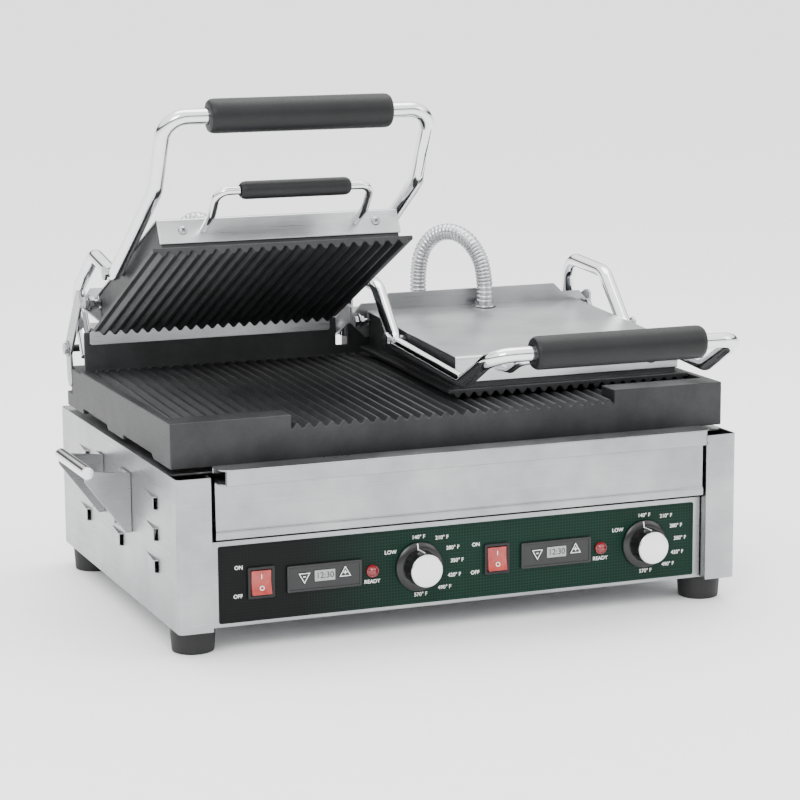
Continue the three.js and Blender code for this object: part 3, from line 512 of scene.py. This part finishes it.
# ---- Dials
# A glossy black knob with a scalloped grip above a wide skirt, and a bright turned cap.
knob_black, knob_tree, knob_shader = material("black_phenolic", Roughness=0.28)
knob_skin = grained(knob_tree, (250, 250, 250))
tint(knob_tree, knob_shader, knob_skin, "#0D0D0E", "#19191A")
turned_alu, alu_tree, alu_shader = material("turned_aluminium", Metallic=1.0)
alu_rings = grained(alu_tree, (900, 900, 900))
tint(alu_tree, alu_shader, alu_rings, "#F2F2F1", "#DADBDB")
alu_tree.links.new(ranged(alu_tree, alu_rings, 0.18, 0.3), alu_shader.inputs["Roughness"])
skirt_profile = [(0, 0.0), (0.0205, 0.0), (0.0236, 0.0004), (0.024, 0.0012), (0.0238, 0.0022),
                 (0.0215, 0.0042), (0.0176, 0.005), (0, 0.0052)]
for side, sign in SIDES:
    x = sign * MODULE + 0.073
    skirt = turned(skirt_profile, (x, -0.1862, PANEL_Z), "Y", steps=64)
    drum = bmesh.new()
    bmesh.ops.create_cone(drum, segments=72, radius1=0.0174, radius2=0.0168, depth=0.0152, cap_ends=True)
    for vertex in drum.verts:
        around = math.atan2(vertex.co.y, vertex.co.x)
        vertex.co.xy *= 1 - 0.07 * (0.5 - 0.5 * math.cos(12 * around)) ** 2
    rounded_edges(drum, 0.0006, angle=60)
    facing = Matrix.Translation((x, -0.1986, PANEL_Z)) @ Matrix.Rotation(math.pi / 2, 4, "X")
    bmesh.ops.transform(drum, matrix=facing, verts=drum.verts)
    show(f"{side}_dial_body", gathered([skirt, drum]), knob_black, f"{side}_dial",
         replaces=[f"{side}_knob"])
    cap_profile = [(0, 0.0022), (0.0148, 0.0021), (0.0158, 0.0014), (0.0162, 0.0004),
                   (0.0162, -0.0001), (0, -0.0001)]
    show(f"{side}_dial_cap", turned(cap_profile, (x, -0.2065, PANEL_Z), "Y", steps=64), turned_alu,
         f"{side}_dial", replaces=[f"{side}_knob_cap"])
    pointer = gathered([plate_block((0, -0.0050, 0.0204), (0.0012, 0.0004, 0.0066), 0.0001),
                        plate_block((0.0010, -0.0120, 0.0172), (0.0012, 0.0140, 0.0006), 0.0001)])
    lean = Matrix.Rotation(math.radians(-8), 3, "Y")
    bmesh.ops.rotate(pointer, verts=pointer.verts, cent=(0, 0, 0), matrix=lean)
    bmesh.ops.translate(pointer, verts=pointer.verts, vec=(x, -0.1862, PANEL_Z))
    show(f"{side}_dial_pointer", pointer, ink, f"{side}_dial")


# ---- Inside the housing
# Sheathed heating rods under the plate, capillary thermostats, a ceramic terminal block
# and the cord's screw gland; these show only from below or behind.
sheath, sheath_tree, sheath_shader = material("heater_sheath_steel", Metallic=1.0, Roughness=0.45)
sheath_heat = grained(sheath_tree, (60, 60, 60))
tint(sheath_tree, sheath_shader, sheath_heat, "#6E675F", "#8A7E70")
glaze, glaze_tree, glaze_shader = material("glazed_ceramic", Roughness=0.2)
glaze_tone = grained(glaze_tree, (80, 80, 80))
tint(glaze_tree, glaze_shader, glaze_tone, "#E4DFD2", "#D6D0C1")
for side, _ in SIDES:
    coat(f"{side}_lower_heater", sheath)
    coat(f"{side}_upper_heater", sheath)
    coat(f"{side}_thermostat", zinc)
coat("terminal_block", glaze)
softened("cord_gland", 0.0006, black_abs, "base")


# ---- Lids: where they stand
# Lid pieces are made as if shut and then turned to where each lid stands at rest.
def about(y, z, degrees):
    """Turns about a line along x through (y, z)."""
    return (Matrix.Translation((0, y, z)) @ Matrix.Rotation(math.radians(degrees), 4, "X")
            @ Matrix.Translation((0, -y, -z)))


HINGE = (0.401, 0.211)
PIVOT = (0.222, 0.2274)
lid_place, arm_place = {}, {}
for side, sign in SIDES:
    shut = Matrix.Translation((sign * 0.14425, -0.196, 0.024))
    lid_place[side] = shut @ about(*HINGE, -27.5 if side == "left" else 0)
    arm_place[side] = lid_place[side] @ about(*PIVOT, -9.2 if side == "left" else 0)


# Round tube and wire: a ring is carried along a route, turning with it.
def rounded_route(corners, bend):
    """Straight runs joined by true arcs, as a tube bender makes them."""
    points = [Vector(c) for c in corners]
    route = [points[0]]
    for before, corner, after in zip(points, points[1:], points[2:]):
        back, ahead = (before - corner).normalized(), (after - corner).normalized()
        half = back.angle(ahead) / 2
        reach = min(bend / math.tan(half), (before - corner).length * 0.48, (after - corner).length * 0.48)
        radius = reach * math.tan(half)
        centre = corner + (back + ahead).normalized() * (radius / math.sin(half))
        start, end = corner + back * reach - centre, corner + ahead * reach - centre
        turn = start.angle(end)
        steps = max(3, round(turn / math.radians(9)))
        axis = start.cross(end).normalized()
        route += [centre + Matrix.Rotation(turn * i / steps, 3, axis) @ start for i in range(steps + 1)]
    route.append(points[-1])
    return route


def ring_place(point, turn, radius):
    return (Matrix.Translation(point) @ turn.to_matrix().to_4x4()
            @ Matrix.Diagonal((radius,) * 3).to_4x4())


def swept(route, radii, sides=20):
    """A round tube along a route; radii is one radius, or one for each point."""
    radii = radii if isinstance(radii, list) else [radii] * len(route)
    mesh = bmesh.new()
    heading = (route[1] - route[0]).normalized()
    turn = Vector((0, 0, 1)).rotation_difference(heading)
    ring = bmesh.ops.create_circle(mesh, segments=sides, radius=1, cap_ends=True)["verts"]
    place = ring_place(route[0], turn, radii[0])
    bmesh.ops.transform(mesh, matrix=place, verts=ring)
    edges = [e for e in mesh.edges]
    for i in range(1, len(route)):
        ahead = route[min(i + 1, len(route) - 1)] - route[i - 1]
        turn = heading.rotation_difference(ahead.normalized()) @ turn
        heading = ahead.normalized()
        step = ring_place(route[i], turn, radii[i])
        grown = bmesh.ops.extrude_edge_only(mesh, edges=edges)["geom"]
        ring = [g for g in grown if isinstance(g, bmesh.types.BMVert)]
        edges = [g for g in grown if isinstance(g, bmesh.types.BMEdge)
                 and all(v in ring for v in g.verts)]
        bmesh.ops.transform(mesh, matrix=step @ place.inverted(), verts=ring)
        place = step
    bmesh.ops.contextual_create(mesh, geom=edges)
    bmesh.ops.recalc_face_normals(mesh, faces=mesh.faces)
    return mesh


def mirrored(half_route):
    """A symmetric frame: the half route on the left, then the same back on the right."""
    return half_route + [(-x, y, z) for x, y, z in reversed(half_route)]


# ---- Arms
# 14.6 mm chromed steel tube, bent in one piece, with a thick moulded grip on its front.
phenolic, grip_tree, grip_shader = material("moulded_phenolic_grip", Roughness=0.5)
grip_shader.inputs["Specular IOR Level"].default_value = 0.3
grip_skin = grained(grip_tree, (650, 650, 650), detail=2)
grip_clouds = grained(grip_tree, (25, 25, 25))
tint(grip_tree, grip_shader, ranged(grip_tree, grip_clouds, 0, 1), "#0D0E0F", "#151617")
grip_tree.links.new(ranged(grip_tree, grip_skin, 0.4, 0.56), grip_shader.inputs["Roughness"])
grip_bump = add(grip_tree, "ShaderNodeBump", {"Height": grip_skin, "Strength": 0.25, "Distance": 0.0003})
grip_tree.links.new(grip_bump.outputs["Normal"], grip_shader.inputs["Normal"])


def grip(half, radius, bore, at):
    """A moulded sleeve with rounded shoulders and a small countersink at each end."""
    profile = [(bore, -half), (bore + 0.001, -half), (radius - 0.0045, -half),
               (radius - 0.0018, -half + 0.001), (radius - 0.0004, -half + 0.0032),
               (radius, -half + 0.0065)]
    profile += [(r, -h) for r, h in reversed(profile)]
    return turned(profile, (0, *at), "X", steps=48)


ARM_SIDE = ((0.3683, 0.212), (0.360, 0.283), (0.272, 0.277), (0.221, 0.224), (0.040, 0.211), (-0.029, 0.2465))
for side, _ in SIDES:
    tube = swept(rounded_route(mirrored([(-0.1315, y, z) for y, z in ARM_SIDE]), 0.022), 0.0073, sides=28)
    bmesh.ops.transform(tube, matrix=arm_place[side], verts=tube.verts)
    show(f"{side}_arm_tube", tube, chrome, f"{side}_arm_frame", bends=60, replaces=[f"{side}_arm"])
    sleeve = grip(0.090, 0.0162, 0.0077, (-0.029, 0.2465))
    bmesh.ops.transform(sleeve, matrix=arm_place[side], verts=sleeve.verts)
    show(f"{side}_main_grip", sleeve, phenolic, f"{side}_arm_frame", replaces=[f"{side}_grip"])


# ---- Upper plates, covers and yokes
# The ribbed casting has the same black coat as the lower plate, painted a little darker as shade; the cover
# and the hinge yoke are folded from brushed stainless and screwed to it.
# Both colours given here are the lower plate's coat, painted darker as shade.
upper_iron_painted_darker = cast_iron("coated_cast_iron_upper_painted_shade", colour="#191A1B", worn="#2A2B2D")
for side, _ in SIDES:
    softened(f"{side}_upper_plate", 0.0010, upper_iron_painted_darker, f"{side}_lid", segments=3)
    softened(f"{side}_cover", 0.0009, steel_across, f"{side}_lid", segments=3)
    softened(f"{side}_hinge_yoke", 0.0005, steel_level, f"{side}_lid")
    for end in ("outer", "inner"):
        softened(f"{side}_pivot_bolt_{end}", 0.0004, zinc, f"{side}_lid")


# Pan-head cross screws hold the cover's front flange to the casting. Their cross recesses are not cut: a thin
# dark metal cross laid on each head is painted shade standing in for the hollow.
recess_painted_shade, recess_painted_shade_tree, recess_painted_shade_shader = material("screw_recess_painted_shade", Roughness=0.6, Metallic=1.0)
recess_painted_shade_tone = grained(recess_painted_shade_tree, (500, 500, 500))
tint(recess_painted_shade_tree, recess_painted_shade_shader, recess_painted_shade_tone, "#2A2B2D", "#3C3D3F")
pan_head = [(0, 0.0026), (0.0018, 0.00255), (0.0034, 0.0020), (0.0044, 0.0010), (0.0047, 0.0), (0.0, 0.0)]
for side, _ in SIDES:
    heads, crosses = [], []
    for x in (-0.098, 0.098):
        at = (x, 0.0825, 0.2156)
        heads.append(turned(pan_head, at, "Y", steps=32))
        # Each arm of the cross is a thin dark block on the head's face, painted shade where the real recess
        # is hollow.
        for turn in (45, -45):
            arm = plate_block((0, 0, 0), (0.0046, 0.0008, 0.0009), 0.0001)
            slant = Matrix.Rotation(math.radians(turn), 3, "Y")
            bmesh.ops.rotate(arm, verts=arm.verts, cent=(0, 0, 0), matrix=slant)
            bmesh.ops.translate(arm, verts=arm.verts, vec=(at[0], at[1] - 0.0023, at[2]))
            crosses.append(arm)
    for name, shapes, paint in (("screws", heads, zinc), ("recess_shade_crosses", crosses, recess_painted_shade)):
        shape = gathered(shapes)
        bmesh.ops.transform(shape, matrix=lid_place[side], verts=shape.verts)
        show(f"{side}_cover_{name}", shape, paint, f"{side}_lid")


# ---- Small lid handles
# 8 mm chromed rod bent to a U, with its own slim grip, fixed through the cover's flange.
for side, _ in SIDES:
    half = [(-0.077, 0.0822, 0.216), (-0.077, 0.052, 0.218), (-0.077, 0.0245, 0.2305)]
    rod = swept(rounded_route(mirrored(half), 0.012), 0.004, sides=20)
    bmesh.ops.transform(rod, matrix=lid_place[side], verts=rod.verts)
    show(f"{side}_handle_rod", rod, chrome, f"{side}_lid", bends=60,
         replaces=[f"{side}_lid_handle"])
    sleeve = grip(0.055, 0.0086, 0.0044, (0.0245, 0.2305))
    bmesh.ops.transform(sleeve, matrix=lid_place[side], verts=sleeve.verts)
    show(f"{side}_small_grip", sleeve, phenolic, f"{side}_lid",
         replaces=[f"{side}_lid_handle_grip"])


# ---- Hinge hardware
# Zinc-plated nuts and washers on the hinge pins, and a threaded stud with two nuts and a
# wide washer on each side of the lid where the yoke is bolted on.
for side, sign in SIDES:
    fixed = [washer((sign * 0.2872, 0.205, 0.235), "X", 0.0085, 0.0041, 0.0011),
             hexagon((sign * 0.2892, 0.205, 0.235), "X", 0.011, 0.0028)]
    show(f"{side}_hinge_nut", gathered(fixed), zinc, "base")
    fittings = []
    for end in (-1, 1):
        at = (end * 0.1285, 0.3215, 0.233)
        stud = [(0, -0.0075), (0.0026, -0.0075), (0.0026, 0.0075), (0, 0.0075)]
        fittings.append(turned(stud, at, "X", steps=20))
        for outward, across in ((0.0022, 0.0105), (0.0085, 0.011)):
            fittings.append(hexagon((at[0] + end * outward, at[1], at[2]), "X", across, 0.0038))
        fittings.append(washer((at[0] + end * 0.0052, at[1], at[2]), "X", 0.0078, 0.0024, 0.0012))
    shape = gathered(fittings)
    bmesh.ops.transform(shape, matrix=lid_place[side], verts=shape.verts)
    show(f"{side}_yoke_fittings", shape, zinc, f"{side}_lid")


# ---- Hoses
# Interlocked steel conduit: a strip wound in a 3.4 mm pitch that looks like stacked rings. It leads the
# heater's wires from the back wall over to the lid; its shape is fixed, bent for where each lid stands at
# rest.
conduit_steel, conduit_tree, conduit_shader = material("wound_steel_strip", Metallic=1.0)
conduit_tone = grained(conduit_tree, (120, 120, 120))
tint(conduit_tree, conduit_shader, conduit_tone, "#C6C8CA", "#A2A4A7")
conduit_tree.links.new(ranged(conduit_tree, conduit_tone, 0.2, 0.34), conduit_shader.inputs["Roughness"])


def smooth_line(knots, spacing):
    """Points at an even spacing on a smooth line through the knots."""
    points = [knots[0] * 2 - knots[1]] + knots + [knots[-1] * 2 - knots[-2]]
    fine = []
    for a, b, c, d in zip(points, points[1:], points[2:], points[3:]):
        for i in range(60):
            t = i / 60
            fine.append(0.5 * (2 * b + (c - a) * t + (2 * a - 5 * b + 4 * c - d) * t * t
                               + (3 * b - a - 3 * c + d) * t ** 3))
    fine.append(knots[-1])
    even, walked = [fine[0]], 0.0
    for before, after in zip(fine, fine[1:]):
        walked += (after - before).length
        if walked >= spacing:
            even.append(after)
            walked = 0.0
    return even


for side, sign in SIDES:
    base_place = Matrix.Translation((sign * 0.14425, -0.196, 0.024))
    collar_z = 0.2285 + (0.313 - 0.0825) * 0.058
    low = base_place @ Vector((-0.039, 0.386, 0.2370))
    rise = base_place @ Vector((-0.039, 0.386, 0.271))
    end = lid_place[side] @ Vector((0.00775, 0.313, collar_z + 0.0006))
    above = lid_place[side] @ Vector((0.00775, 0.3118, collar_z + 0.024))
    top = 0.366 if side == "left" else 0.3435
    arch = Vector((0, 0, top - (rise.z + above.z) / 2))
    turns = [math.radians(30 * i) for i in range(7)]
    knots = [rise.lerp(above, 0.5 - 0.5 * math.cos(t)) + arch * math.sin(t) for t in turns]
    line = smooth_line([low] + knots + [end], 0.00085)
    radii = [0.0077 + 0.0014 * abs(math.sin(math.pi * i / 4)) for i in range(len(line))]
    hose = swept(line, radii, sides=22)
    piece = show(f"{side}_wound_hose", hose, conduit_steel, "base", bends=70)
    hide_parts(f"{side}_conduit")
    piece.parent = None
    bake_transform(piece)
    collar_profile = [(0.0094, 0.0), (0.0128, 0.0), (0.0124, 0.0012), (0.0101, 0.0018),
                      (0.0099, 0.006), (0.0094, 0.006), (0.0094, 0.0)]
    collar = turned(collar_profile, (0.00775, 0.313, collar_z + 0.0003))
    bmesh.ops.transform(collar, matrix=lid_place[side], verts=collar.verts)
    show(f"{side}_hose_collar", collar, zinc, f"{side}_lid")
